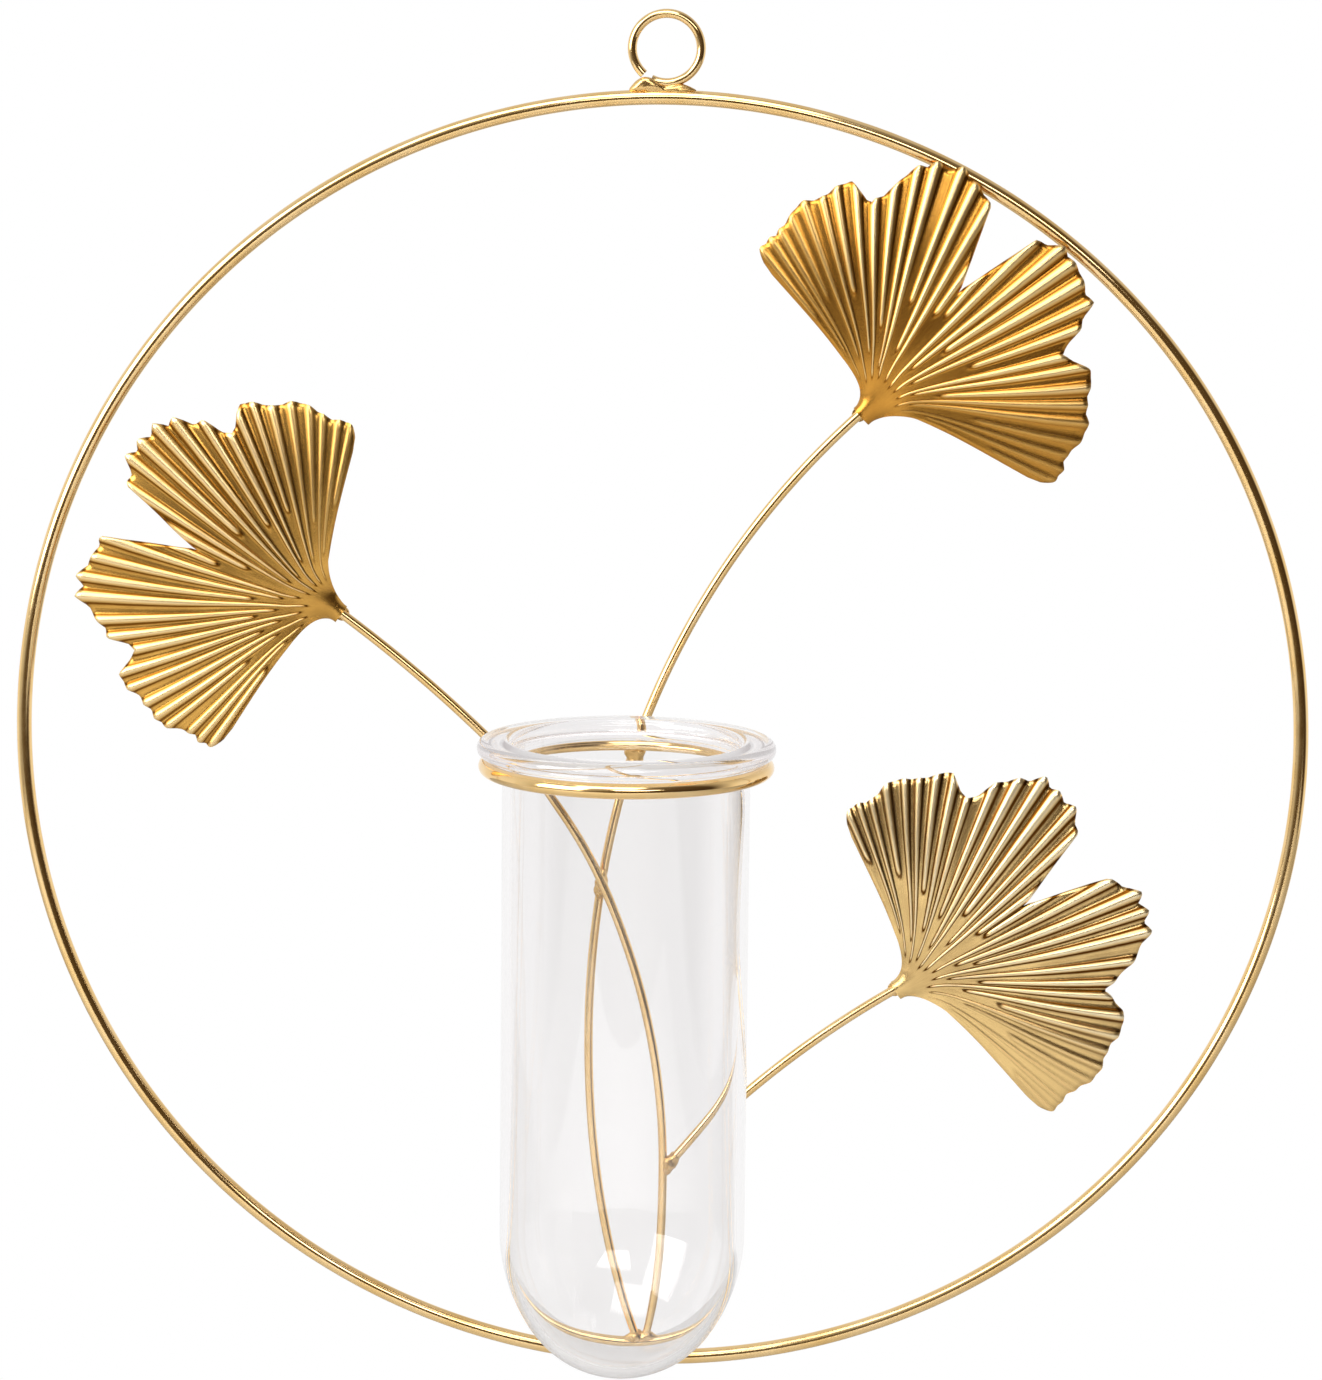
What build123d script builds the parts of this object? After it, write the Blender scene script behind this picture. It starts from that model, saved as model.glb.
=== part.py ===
"""Hanging wall vase: a wire hoop with a pressed-leaf sprig and a glass tube in a wire ring.

Millimetres. The origin is the middle of the hanging eye, +X right, +Y into the wall, +Z up.
"""
import os
from math import asin, cos, degrees, exp, pi, radians, sin, sqrt, tan

from build123d import *

# Hoop and hanging eye
hoop_diameter = 300.0
hoop_wire = 3.5
eye_diameter = 17.8
eye_wire = 2.1
eye_open_at = 229.0  # degrees round from +X where the bent wire ends
eye_open = 15.0  # degrees left open between the wire's two ends
eye_lift = 0.4  # eye above the hoop, filled by the weld
eye_weld_length = 13.0
eye_weld_width = 3.0
eye_weld_side = -0.8  # weld runs a little further on the open side

# Stems, bent from one gauge of wire
stem_wire = 2.2
stem_set = 1.0  # stems stand this far in front of the hoop's middle
foot_gap = 0.2  # stem ends above the hoop
crossing_gap = 0.2  # left stem in front of the upper stem
branch_gap = 0.15
stem_tuck = 4.5  # stem end inside a leaf's neck
foot_spread = 2.7  # between the two stem feet
foot_left_x = -0.8
foot_upper_turn = 109.5  # degrees at which the upper stem leaves the hoop
foot_left_turn = 81.0
branch_x = 2.5
branch_z = -100.0  # heights from the middle of the hoop
crossing_x = -13.4
crossing_z = -33.0
bend_x = -27.9
bend_z = -11.8
branch_turn = 48.0
foot_weld_length = 8.4
foot_weld_width = 4.0
tack_weld_length = 5.0  # at the crossing and at the branch
tack_weld_width = 3.6

# Leaves, three alike
leaf_length = 59.2
leaf_sheet = 0.6
fan_half = 72.5  # degrees from the leaf's middle line to its side
half_ribs = 16
rib_width = 0.46  # foot of a rib, as a share of the pitch between ribs
pleat_depth = 1.1
pleat_start = 5.0  # along the half leaf, where the long ribs rise out of the neck
pleat_full = 22.0
fork_start = 17.0  # where every second rib rises, between two long ones
fork_full = 36.0
leaf_bow = 3.0  # crown along the ribs
leaf_droop = 2.0  # sides turned back
fan_spread = 1.04  # side veins at the rim, as a share of the half fan
fan_flare = 0.7  # how much of that they bend outwards by on the way
fan_flare_length = 13.0
cleft_depth = 23.8  # from the tip circle in to the cleft's point
cleft_corner_turn = 6.8
cleft_corner_set = 3.5
lobe_turn = 15.5
shoulder_turn = 28.5
shoulder_set = 4.6
notch_turn = 35.3
notch_set = 11.6
side_lobe_turn = 40.8
side_lobe_set = 6.6
side_mid_turn = 55.0
side_mid_set = 10.0
side_tip_turn = 71.5
side_tip_set = 16.8
neck_length = 7.0
neck_gap = 0.2  # neck round the stem
neck_crown = 0.1  # neck stands proud of the blade
solder_length = 5.2
solder_width = 3.4

# Places of the leaves in the hoop
upper_bearing = 59.3
upper_axis = 52.6
left_bearing = 158.4
left_axis = 155.7
left_inset = 7.5
lower_bearing = -45.5
lower_axis = 36.4
lower_inset = 66.2
hoop_gap = 0.9  # upper leaf in front of the hoop
leaf_weld_length = 4.6
leaf_weld_width = 3.2
leaf_weld_set = 1.2  # inside the middle of the hoop's wire

# Glass tube and its holder ring
tube_diameter = 56.0
tube_wall = 2.0
tube_floor = 2.2
tube_length = 148.0
tube_dome = 34.0
dome_round = 25.0  # radius of the round bottom
lip_roll = 4.0  # thickness of the rolled lip
lip_over = 0.15  # roll's middle outside the ring's wire
mouth_round = 1.8  # inner edge of the lip
holder_wire = 3.5
holder_clear = 1.9  # ring round the tube
holder_x = -6.0
holder_z = -0.1
holder_side = 1.0  # upper stem right of the ring's middle
holder_weld_length = 9.0
holder_weld_width = 5.6
holder_weld_tip = 2.8  # width at its lower end
holder_weld_rise = 1.6  # above the middle of the ring's wire
lip_gap = 0.35  # lip to the stem behind it
seat_gap = 0.4  # lip above the ring

# Sizes that follow from the ones above
hoop_drop = eye_diameter / 2 + eye_lift + hoop_diameter / 2
hoop_middle = (hoop_diameter - hoop_wire) / 2
hoop_inner = hoop_diameter / 2 - hoop_wire
eye_middle = (eye_diameter - eye_wire) / 2
stem_radius = stem_wire / 2
stem_front = -stem_set - stem_radius
foot_z = foot_gap - hoop_inner - stem_radius * cos(radians(foot_upper_turn))
stem_lean = degrees(asin((stem_wire + crossing_gap) / (crossing_z - foot_z)))
neck_inner = stem_radius + neck_gap
neck_outer = neck_inner + leaf_sheet
blade_front = neck_outer - leaf_sheet / 2 - neck_crown
blade_half = radians(fan_half) / 2
leaf_reach = hoop_wire / 2 + hoop_gap + (pleat_depth + leaf_sheet) / 2
leaf_tilt = degrees(asin((leaf_reach - stem_set - blade_front) / leaf_length))
tube_radius = tube_diameter / 2
holder_middle = tube_radius + holder_clear + holder_wire / 2
lip_middle = holder_middle + lip_over
holder_y = stem_front - lip_gap - lip_middle - lip_roll / 2
lip_under = holder_wire / 2 + seat_gap
lip_top = lip_under + lip_roll
tube_tip = lip_top - tube_length

# Workplanes: local x is right, local y is up from the middle of the hoop
upper_plane = Plane((0, -stem_set, -hoop_drop), x_dir=(1, 0, 0), z_dir=(0, -1, 0))
lean = radians(stem_lean)
lean_foot = foot_z * (1 - cos(lean))
left_origin = (0, -stem_set + foot_z * sin(lean), -hoop_drop + lean_foot)
left_plane = Plane(left_origin, x_dir=(1, 0, 0), z_dir=(0, -cos(lean), -sin(lean)))


def polar(turn, radius):
    """Point at an angle in degrees and a distance, on a local plane."""
    return (radius * cos(radians(turn)), radius * sin(radians(turn)))


def place(plane, point):
    """Point of a local plane in the model's frame."""
    return plane.from_local_coords((point[0], point[1], 0))


def aim(plane, turn):
    """Direction at an angle in degrees on a local plane, in the model's frame."""
    return plane.x_dir * cos(radians(turn)) + plane.y_dir * sin(radians(turn))


def front_plane(origin, way=(1, 0, 0)):
    """Upright plane that faces the front, with its x along the given direction."""
    return Plane(origin, x_dir=way, z_dir=(0, -1, 0))


def bead(plane, length, width):
    """Weld bead: a rod with round ends that lies along the plane's x direction."""
    half = length / 2
    end = width / 2
    with BuildPart() as blob:
        with BuildSketch(plane):
            with BuildLine():
                Line((-half, 0), (half, 0))
                CenterArc((half - end, 0), end, 0, 90)
                Line((half - end, end), (end - half, end))
                CenterArc((end - half, 0), end, 90, 90)
            make_face()
        revolve(axis=Axis(plane.origin, plane.x_dir))
    return blob.part


# Where the three leaves spring from, measured from the middle of the hoop
tip_offset = radians(upper_axis + lobe_turn - upper_bearing)
tip_side = leaf_length * sin(tip_offset)
upper_reach = sqrt(hoop_middle**2 - tip_side**2) - leaf_length * cos(tip_offset)
upper_base = place(upper_plane, polar(upper_bearing, upper_reach))
left_base = place(left_plane, polar(left_bearing, hoop_inner - left_inset - leaf_length))
lower_base = place(left_plane, polar(lower_bearing, hoop_inner - lower_inset))

# Hoop
with BuildPart() as hoop:
    with BuildSketch(Plane.XY.offset(-hoop_drop)):
        with Locations((hoop_middle, 0)):
            Circle(hoop_wire / 2)
    revolve(axis=Axis((0, 0, -hoop_drop), (0, 1, 0)))

# Hanging eye: a short wire bent round until its ends almost meet
eye_start = radians(eye_open_at + eye_open)
eye_plane = Plane(
    (0, 0, 0), x_dir=(cos(eye_start), 0, sin(eye_start)), z_dir=(-sin(eye_start), 0, cos(eye_start))
)
with BuildPart() as hanging_eye:
    with BuildSketch(eye_plane):
        with Locations((eye_middle, 0)):
            Circle(eye_wire / 2)
    revolve(axis=Axis((0, 0, 0), (0, -1, 0)), revolution_arc=360 - eye_open)

eye_weld_at = front_plane((eye_weld_side, 0, -(eye_diameter + eye_lift) / 2))
with BuildPart() as eye_weld:
    add(bead(eye_weld_at, eye_weld_length, eye_weld_width))
    add(hoop.part, mode=Mode.SUBTRACT)
    add(hanging_eye.part, mode=Mode.SUBTRACT)

# Upper stem: hoop, crossing, behind the holder ring, upper leaf
with BuildPart() as stem_upper:
    with BuildLine() as upper_path:
        foot = place(upper_plane, (foot_left_x - foot_spread, foot_z))
        crossing = place(upper_plane, (crossing_x, crossing_z))
        behind = place(upper_plane, (holder_x + holder_side, holder_z))
        rise = TangentArc(foot, crossing, tangent=aim(upper_plane, foot_upper_turn))
        pass_ring = TangentArc(crossing, behind, tangent=rise % 1)
        to_leaf = TangentArc(behind, upper_base, tangent=pass_ring % 1)
        upper_way = to_leaf % 1
        Line(upper_base, upper_base + upper_way * stem_tuck)
    with BuildSketch(Plane(upper_path.line @ 0, z_dir=upper_path.line % 0)):
        Circle(stem_radius)
    sweep()

# Left stem: leans forward from the hoop to pass in front of the upper stem
with BuildPart() as stem_left:
    with BuildLine() as left_path:
        foot = place(left_plane, (foot_left_x, foot_z))
        branch = place(left_plane, (branch_x, branch_z))
        over = place(left_plane, (crossing_x, crossing_z))
        bend = place(left_plane, (bend_x, bend_z))
        rise = TangentArc(foot, branch, tangent=aim(left_plane, foot_left_turn))
        lean_left = TangentArc(branch, over, tangent=rise % 1)
        pass_ring = TangentArc(over, bend, tangent=lean_left % 1)
        to_leaf = TangentArc(bend, left_base, tangent=pass_ring % 1)
        left_way = to_leaf % 1
        Line(left_base, left_base + left_way * stem_tuck)
    with BuildSketch(Plane(left_path.line @ 0, z_dir=left_path.line % 0)):
        Circle(stem_radius)
    sweep()

# Lower stem: branches off the left stem
branch_off = stem_radius + branch_gap + stem_radius * sin(radians(branch_turn))
with BuildPart() as stem_lower:
    with BuildLine() as lower_path:
        root = place(left_plane, (branch_x + branch_off, branch_z))
        to_leaf = TangentArc(root, lower_base, tangent=aim(left_plane, branch_turn))
        lower_way = to_leaf % 1
        Line(lower_base, lower_base + lower_way * stem_tuck)
    with BuildSketch(Plane(lower_path.line @ 0, z_dir=lower_path.line % 0)):
        Circle(stem_radius)
    sweep()

# Holder ring and glass tube
holder_plane = Plane((holder_x, holder_y, holder_z - hoop_drop), x_dir=(1, 0, 0), z_dir=(0, -1, 0))
holder_axis = Axis(holder_plane.origin, (0, 0, 1))
with BuildPart() as holder_ring:
    with BuildSketch(holder_plane):
        with Locations((holder_middle, 0)):
            Circle(holder_wire / 2)
    revolve(axis=holder_axis)

flare = holder_middle - tube_radius
dome_z = tube_tip + tube_dome
bore = tube_radius - tube_wall
bore_tip = tube_tip + tube_floor


def dome_joint(radius, tip, bottom):
    """Where the round bottom of a dome runs into the wider arc that meets the tube's wall."""
    drop = dome_z - tip - bottom
    side = (radius**2 + drop**2 - bottom**2) / (2 * (radius - bottom))
    return ((side - radius) * bottom / (side - bottom), dome_z - side * drop / (side - bottom))


with BuildPart() as glass_tube:
    with BuildSketch(holder_plane):
        with BuildLine():
            outer_joint = dome_joint(tube_radius, tube_tip, dome_round)
            inner_joint = dome_joint(bore, bore_tip, dome_round - tube_wall)
            TangentArc((0, tube_tip), outer_joint, tangent=(1, 0))
            TangentArc((tube_radius, dome_z), outer_joint, tangent=(0, -1))
            Line((tube_radius, dome_z), (tube_radius, lip_under - flare))
            CenterArc((holder_middle, lip_under - flare), flare, 180, -90)
            Line((holder_middle, lip_under), (lip_middle, lip_under))
            CenterArc((lip_middle, lip_under + lip_roll / 2), lip_roll / 2, -90, 180)
            Line((lip_middle, lip_top), (bore + mouth_round, lip_top))
            CenterArc((bore + mouth_round, lip_top - mouth_round), mouth_round, 90, 90)
            Line((bore, lip_top - mouth_round), (bore, dome_z))
            TangentArc((bore, dome_z), inner_joint, tangent=(0, -1))
            TangentArc((0, bore_tip), inner_joint, tangent=(1, 0))
            Line((0, bore_tip), (0, tube_tip))
        make_face()
    revolve(axis=holder_axis)

# Leaf blade, pressed into pleats that fan out from the neck; local x is its middle line


def ramp(along, start, full):
    """Smooth step from 0 to 1 between two distances."""
    rise = min(max((along - start) / (full - start), 0), 1)
    return rise * rise * (3 - 2 * rise)


def blade_section(along, reach):
    """Outline of the pressed sheet across one half of the fan, at a distance along the half."""
    spread = fan_spread - fan_flare * exp(-along / fan_flare_length)
    long_rib = pleat_depth * ramp(along, pleat_start, pleat_full)
    fork_rib = pleat_depth * ramp(along, fork_start, fork_full)
    lifts = [(-0.5, 0)]
    for rib in range(half_ribs):
        lift = fork_rib if rib % 2 else long_rib
        lifts += [(rib + 0.5 - rib_width / 2, 0), (rib + 0.5, lift), (rib + 0.5 + rib_width / 2, 0)]
    lifts.append((half_ribs, 0))
    face = []
    for step, lift in lifts:
        turn = -blade_half + 2 * blade_half * spread * step / half_ribs
        share = along / cos(turn) / reach
        side = (turn + blade_half) / (2 * blade_half)
        height = blade_front + leaf_bow * sin(pi * share) - leaf_droop * side**2 * share
        face.append((along * tan(turn), height + lift - long_rib / 2))
    front = [(x, y + leaf_sheet / 2) for x, y in face]
    back = [(x, y - leaf_sheet / 2) for x, y in reversed(face)]
    return front + back


half_way = (cos(blade_half), sin(blade_half), 0)
half_across = (-sin(blade_half), cos(blade_half), 0)
with BuildPart() as blade:
    for share in (0.05, 0.16, 0.29, 0.44, 0.61, 0.8, 1.0):
        along = leaf_length * share
        with BuildSketch(Plane((half_way[0] * along, half_way[1] * along, 0), half_across, half_way)):
            with BuildLine():
                Polyline(blade_section(along, leaf_length), close=True)
            make_face()
    loft()
    with BuildSketch(Plane.XY.offset(-leaf_length / 2)):
        with BuildLine():
            cleft_corner = polar(cleft_corner_turn, leaf_length - cleft_corner_set)
            shoulder = polar(shoulder_turn, leaf_length - shoulder_set)
            side_lobe = polar(side_lobe_turn, leaf_length - side_lobe_set)
            side_tip = polar(side_tip_turn, leaf_length - side_tip_set)
            Line((0, 0), (leaf_length - cleft_depth, 0))
            Line((leaf_length - cleft_depth, 0), cleft_corner)
            ThreePointArc(cleft_corner, polar(lobe_turn, leaf_length), shoulder)
            Polyline(shoulder, polar(notch_turn, leaf_length - notch_set), side_lobe)
            ThreePointArc(side_lobe, polar(side_mid_turn, leaf_length - side_mid_set), side_tip)
            Polyline(side_tip, polar(fan_half + 15, leaf_length - side_tip_set), (0, 0))
        make_face()
    extrude(amount=leaf_length, mode=Mode.INTERSECT)
    mirror(about=Plane.XZ)


def pressed_leaf(plane, base, axis, way):
    """Leaf that springs from a stem's end, tipped forward, its neck half wrapped round the stem."""
    out = aim(plane, axis)
    tilt = radians(leaf_tilt)
    front = plane.z_dir * cos(tilt) - out * sin(tilt)
    fan = Plane(base, x_dir=out * cos(tilt) + plane.z_dir * sin(tilt), z_dir=front)
    open_end = base + way * (stem_tuck - neck_length)
    with BuildPart() as piece:
        with Locations(fan):
            add(blade.part)
        with BuildSketch(Plane(open_end, x_dir=plane.z_dir.cross(way), z_dir=way)):
            Circle(neck_outer)
            Circle(neck_inner, mode=Mode.SUBTRACT)
            Rectangle(2 * neck_outer, neck_outer, align=(Align.CENTER, Align.MAX), mode=Mode.SUBTRACT)
        extrude(amount=neck_length)
    return piece


leaf_upper = pressed_leaf(upper_plane, upper_base, upper_axis, upper_way)
leaf_left = pressed_leaf(left_plane, left_base, left_axis, left_way)
leaf_lower = pressed_leaf(left_plane, lower_base, lower_axis, lower_way)


def neck_solder(plane, base, way, stem, leaf):
    """Solder behind a neck, filled up round the back of the stem."""
    back = Plane(base, x_dir=way, z_dir=plane.z_dir)
    with BuildPart() as piece:
        add(bead(back.offset(-stem_radius / 2), solder_length, solder_width))
        split(bisect_by=back, keep=Keep.BOTTOM)
        add(stem.part, mode=Mode.SUBTRACT)
        add(leaf.part, mode=Mode.SUBTRACT)
    return piece


leaf_upper_solder = neck_solder(upper_plane, upper_base, upper_way, stem_upper, leaf_upper)
leaf_left_solder = neck_solder(left_plane, left_base, left_way, stem_left, leaf_left)
leaf_lower_solder = neck_solder(left_plane, lower_base, lower_way, stem_lower, leaf_lower)

# Welds between the wires
feet = (upper_path.line @ 0 + left_path.line @ 0) / 2
with BuildPart() as foot_weld:
    add(bead(front_plane(feet), foot_weld_length, foot_weld_width))
    add(hoop.part, mode=Mode.SUBTRACT)
    add(stem_upper.part, mode=Mode.SUBTRACT)
    add(stem_left.part, mode=Mode.SUBTRACT)

with BuildPart() as crossing_weld:
    add(bead(front_plane((crossing + over) / 2, (0, 0, 1)), tack_weld_length, tack_weld_width))
    add(stem_upper.part, mode=Mode.SUBTRACT)
    add(stem_left.part, mode=Mode.SUBTRACT)

branch_weld_at = Plane(root, x_dir=aim(left_plane, branch_turn), z_dir=left_plane.z_dir)
with BuildPart() as branch_weld:
    add(bead(branch_weld_at, tack_weld_length, tack_weld_width))
    add(stem_left.part, mode=Mode.SUBTRACT)
    add(stem_lower.part, mode=Mode.SUBTRACT)

# Weld that carries the ring: a drop that tapers down the stem
ring_back = holder_y + holder_middle + holder_wire / 2
holder_weld_top = holder_z + holder_weld_rise - hoop_drop
holder_weld_plane = front_plane((holder_x + holder_side / 2, (ring_back + stem_front) / 2, holder_weld_top))
weld_top = holder_weld_width / 2
weld_tip = holder_weld_tip / 2
with BuildPart() as holder_weld:
    with BuildSketch(holder_weld_plane):
        with BuildLine():
            CenterArc((0, -weld_top), weld_top, 0, 90)
            Line((weld_top, -weld_top), (weld_tip, weld_tip - holder_weld_length))
            CenterArc((0, weld_tip - holder_weld_length), weld_tip, 0, -90)
            Line((0, -holder_weld_length), (0, 0))
        make_face()
    revolve(axis=Axis(holder_weld_plane.origin, (0, 0, 1)))
    add(holder_ring.part, mode=Mode.SUBTRACT)
    add(stem_upper.part, mode=Mode.SUBTRACT)

tip = upper_base + aim(upper_plane, upper_axis + lobe_turn) * leaf_length
outward = (tip - place(upper_plane, (0, 0))).normalized()
leaf_weld_at = tip - outward * leaf_weld_set
leaf_weld_y = -hoop_wire / 2 - hoop_gap / 2
leaf_weld_plane = front_plane((leaf_weld_at.X, leaf_weld_y, leaf_weld_at.Z), outward.rotate(Axis.Y, 90))
with BuildPart() as leaf_tack_weld:
    add(bead(leaf_weld_plane, leaf_weld_length, leaf_weld_width))
    split(bisect_by=Plane.XZ.offset(leaf_reach - pleat_depth / 2), keep=Keep.BOTTOM)
    add(hoop.part, mode=Mode.SUBTRACT)
    add(leaf_upper.part, mode=Mode.SUBTRACT)

os.makedirs("parts", exist_ok=True)
for piece, label in (
    (hoop, "hoop"),
    (hanging_eye, "hanging_eye"),
    (eye_weld, "eye_weld"),
    (stem_upper, "stem_upper"),
    (stem_left, "stem_left"),
    (stem_lower, "stem_lower"),
    (foot_weld, "foot_weld"),
    (crossing_weld, "crossing_weld"),
    (branch_weld, "branch_weld"),
    (holder_ring, "holder_ring"),
    (holder_weld, "holder_weld"),
    (leaf_upper, "leaf_upper"),
    (leaf_left, "leaf_left"),
    (leaf_lower, "leaf_lower"),
    (leaf_upper_solder, "leaf_upper_solder"),
    (leaf_left_solder, "leaf_left_solder"),
    (leaf_lower_solder, "leaf_lower_solder"),
    (leaf_tack_weld, "leaf_tack_weld"),
    (glass_tube, "glass_tube"),
):
    piece.part.label = label
    export_step(piece.part, f"parts/{label}.step")
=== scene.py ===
"""Looks of a hanging wall vase: gold wire hoop, pressed ginkgo leaves and a clear glass tube.

Sizes of the pieces are millimetres, as in the part's source. Materials and stage are in metres.
"""
import math
import random
from collections import namedtuple

import bpy
import numpy as np
from mathutils import Matrix, Vector


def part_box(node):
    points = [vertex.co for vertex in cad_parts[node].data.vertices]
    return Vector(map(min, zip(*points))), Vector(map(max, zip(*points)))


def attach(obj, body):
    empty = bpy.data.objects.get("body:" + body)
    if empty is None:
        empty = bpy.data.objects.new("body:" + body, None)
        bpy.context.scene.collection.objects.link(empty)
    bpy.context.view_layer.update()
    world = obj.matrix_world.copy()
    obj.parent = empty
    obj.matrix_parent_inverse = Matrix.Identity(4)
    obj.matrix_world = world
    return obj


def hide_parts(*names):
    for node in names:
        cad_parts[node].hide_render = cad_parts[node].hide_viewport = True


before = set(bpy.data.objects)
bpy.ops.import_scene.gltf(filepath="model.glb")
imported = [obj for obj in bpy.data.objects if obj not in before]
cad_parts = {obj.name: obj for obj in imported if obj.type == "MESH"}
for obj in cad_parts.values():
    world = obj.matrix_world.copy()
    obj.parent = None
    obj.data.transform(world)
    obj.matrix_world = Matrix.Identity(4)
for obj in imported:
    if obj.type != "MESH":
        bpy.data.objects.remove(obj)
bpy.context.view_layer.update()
MM = 0.001
FULL_TURN = 2 * math.pi
RIGHT = np.array((1.0, 0.0, 0.0))
FRONT = np.array((0.0, -1.0, 0.0))
UP = np.array((0.0, 0.0, 1.0))
WHITE = (1.0, 1.0, 1.0, 1.0)
# Most of a noise lies between these values
NOISE_BAND = (0.3, 0.7)
NOISE_ROUGH = 0.55


# Node helpers
class Nodes:
    """A node tree under way: most methods add one node and give its output back."""

    def __init__(self, tree, end):
        self.tree = tree
        tree.nodes.clear()
        self.end = self.add(end)

    def add(self, kind, **values):
        node = self.tree.nodes.new(kind)
        for name, value in values.items():
            setattr(node, name, value)
        return node

    def link(self, out, into):
        self.tree.links.new(out, into)

    def feed(self, socket, value):
        """Put a plain value or another node's output into a socket."""
        if isinstance(value, bpy.types.NodeSocket):
            self.link(value, socket)
        else:
            socket.default_value = value

    def math(self, operation, first, second):
        node = self.add("ShaderNodeMath", operation=operation)
        self.feed(node.inputs[0], first)
        self.feed(node.inputs[1], second)
        return node.outputs[0]

    def blend(self, *parts):
        """Sum of outputs, each one times its weight."""
        weighted = [self.math("MULTIPLY", out, weight) for out, weight in parts]
        total = weighted[0]
        for part in weighted[1:]:
            total = self.math("ADD", total, part)
        return total

    def mix(self, share, first, second):
        node = self.add("ShaderNodeMix", data_type="RGBA")
        self.feed(node.inputs["Factor"], share)
        self.feed(node.inputs["A"], first)
        self.feed(node.inputs["B"], second)
        return node.outputs["Result"]

    def ramp(self, value, stops):
        node = self.add("ShaderNodeValToRGB")
        elements = node.color_ramp.elements
        while len(elements) < len(stops):
            elements.new(0.5)
        for element, (place, colour) in zip(elements, stops):
            element.position = place
            element.color = (*colour, 1.0)
        self.link(value, node.inputs[0])
        return node.outputs[0]

    def drift(self, noise, dark, light):
        """Colour that goes from dark to light with a noise."""
        return self.ramp(noise, ((NOISE_BAND[0], dark), (NOISE_BAND[1], light)))

    def span(self, value, low_high, to_low_high):
        """A value carried over from one range to another and held at its ends."""
        node = self.add("ShaderNodeMapRange")
        for socket, number in zip(node.inputs[1:5], (*low_high, *to_low_high)):
            socket.default_value = number
        self.link(value, node.inputs[0])
        return node.outputs[0]

    def noise(self, vector, scale, detail):
        node = self.add("ShaderNodeTexNoise")
        node.inputs["Scale"].default_value = scale
        node.inputs["Detail"].default_value = detail
        node.inputs["Roughness"].default_value = NOISE_ROUGH
        self.link(vector, node.inputs["Vector"])
        return node.outputs["Fac"]

    def stretch(self, vector, scale):
        node = self.add("ShaderNodeMapping")
        node.inputs["Scale"].default_value = scale
        self.link(vector, node.inputs["Vector"])
        return node.outputs[0]

    def axis(self, vector, letter):
        node = self.add("ShaderNodeSeparateXYZ")
        self.link(vector, node.inputs[0])
        return node.outputs[letter]

    def attribute(self, name):
        return self.add("ShaderNodeAttribute", attribute_name=name).outputs["Fac"]

    def bump(self, height, strength, distance):
        node = self.add("ShaderNodeBump")
        node.inputs["Strength"].default_value = strength
        node.inputs["Distance"].default_value = distance
        self.link(height, node.inputs["Height"])
        return node.outputs[0]


def new_material(name):
    """A material with its node tree, its surface's sockets and the object's own coordinates."""
    material = bpy.data.materials.new(name)
    material.use_nodes = True
    nodes = Nodes(material.node_tree, "ShaderNodeOutputMaterial")
    shader = nodes.add("ShaderNodeBsdfPrincipled")
    nodes.link(shader.outputs[0], nodes.end.inputs[0])
    place = nodes.add("ShaderNodeTexCoord").outputs["Object"]
    return material, nodes, shader.inputs, place


# Gold plating: pattern scales and the depth of the grain
COLOUR_DRIFT = 90.0
GLOSS_DRIFT = 260.0
GRAIN_DEPTH = 0.0002


def gold(name, dark, light, rough, grain, dents):
    """Polished or satin gold plating: colour and gloss drift over it, with fine grain."""
    material, nodes, surface, place = new_material(name)
    colour = nodes.noise(place, COLOUR_DRIFT, detail=4.0)
    gloss = nodes.noise(place, GLOSS_DRIFT, detail=3.0)
    fine = nodes.noise(place, grain, detail=2.0)
    nodes.feed(surface["Base Color"], nodes.drift(colour, dark, light))
    nodes.feed(surface["Metallic"], 1.0)
    nodes.feed(surface["Roughness"], nodes.span(gloss, NOISE_BAND, rough))
    nodes.feed(surface["Normal"], nodes.bump(fine, dents, GRAIN_DEPTH))
    return material


wire_gold = gold(
    "wire_gold",
    dark=(0.83, 0.55, 0.22),
    light=(0.91, 0.66, 0.34),
    rough=(0.08, 0.13),
    grain=130.0,
    dents=0.03,
)
weld_gold = gold(
    "weld_gold",
    dark=(0.66, 0.40, 0.12),
    light=(0.84, 0.57, 0.25),
    rough=(0.2, 0.36),
    grain=1200.0,
    dents=0.25,
)

# Leaf plating: pattern scales, and the weights of rib, drift and brushing in the tone, where the rib's
# share places painted highlight and painted shade
LEAF_DRIFT = 70.0
LEAF_GRAIN = 2600.0
BRUSHING = (220.0, 6.0, 1.0)
RIB_TONE = 0.8
DRIFT_TONE = 0.16
BRUSH_TONE = 0.1
# Tones of the valley, the dark foot beside it and the crest, and the step from groove to flank; the foot is
# painted shade, the crest a painted highlight
VALLEY_TONE = 0.1
FOOT_SHADE_TONE = 0.24
FLANK_STEP = 0.22
CREST_TONE = 0.95
# Roughness, and the weights of brushing and grain in the bump
LEAF_ROUGH = 0.2
RIB_ROUGH = 0.06
BRUSH_ROUGH = 0.1
BRUSH_HEIGHT = 0.6
GRAIN_HEIGHT = 0.4
LEAF_DENTS = 0.12


def shaded(colour, share):
    """A colour darkened to a share of itself."""
    return tuple(share * channel for channel in colour)


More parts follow.
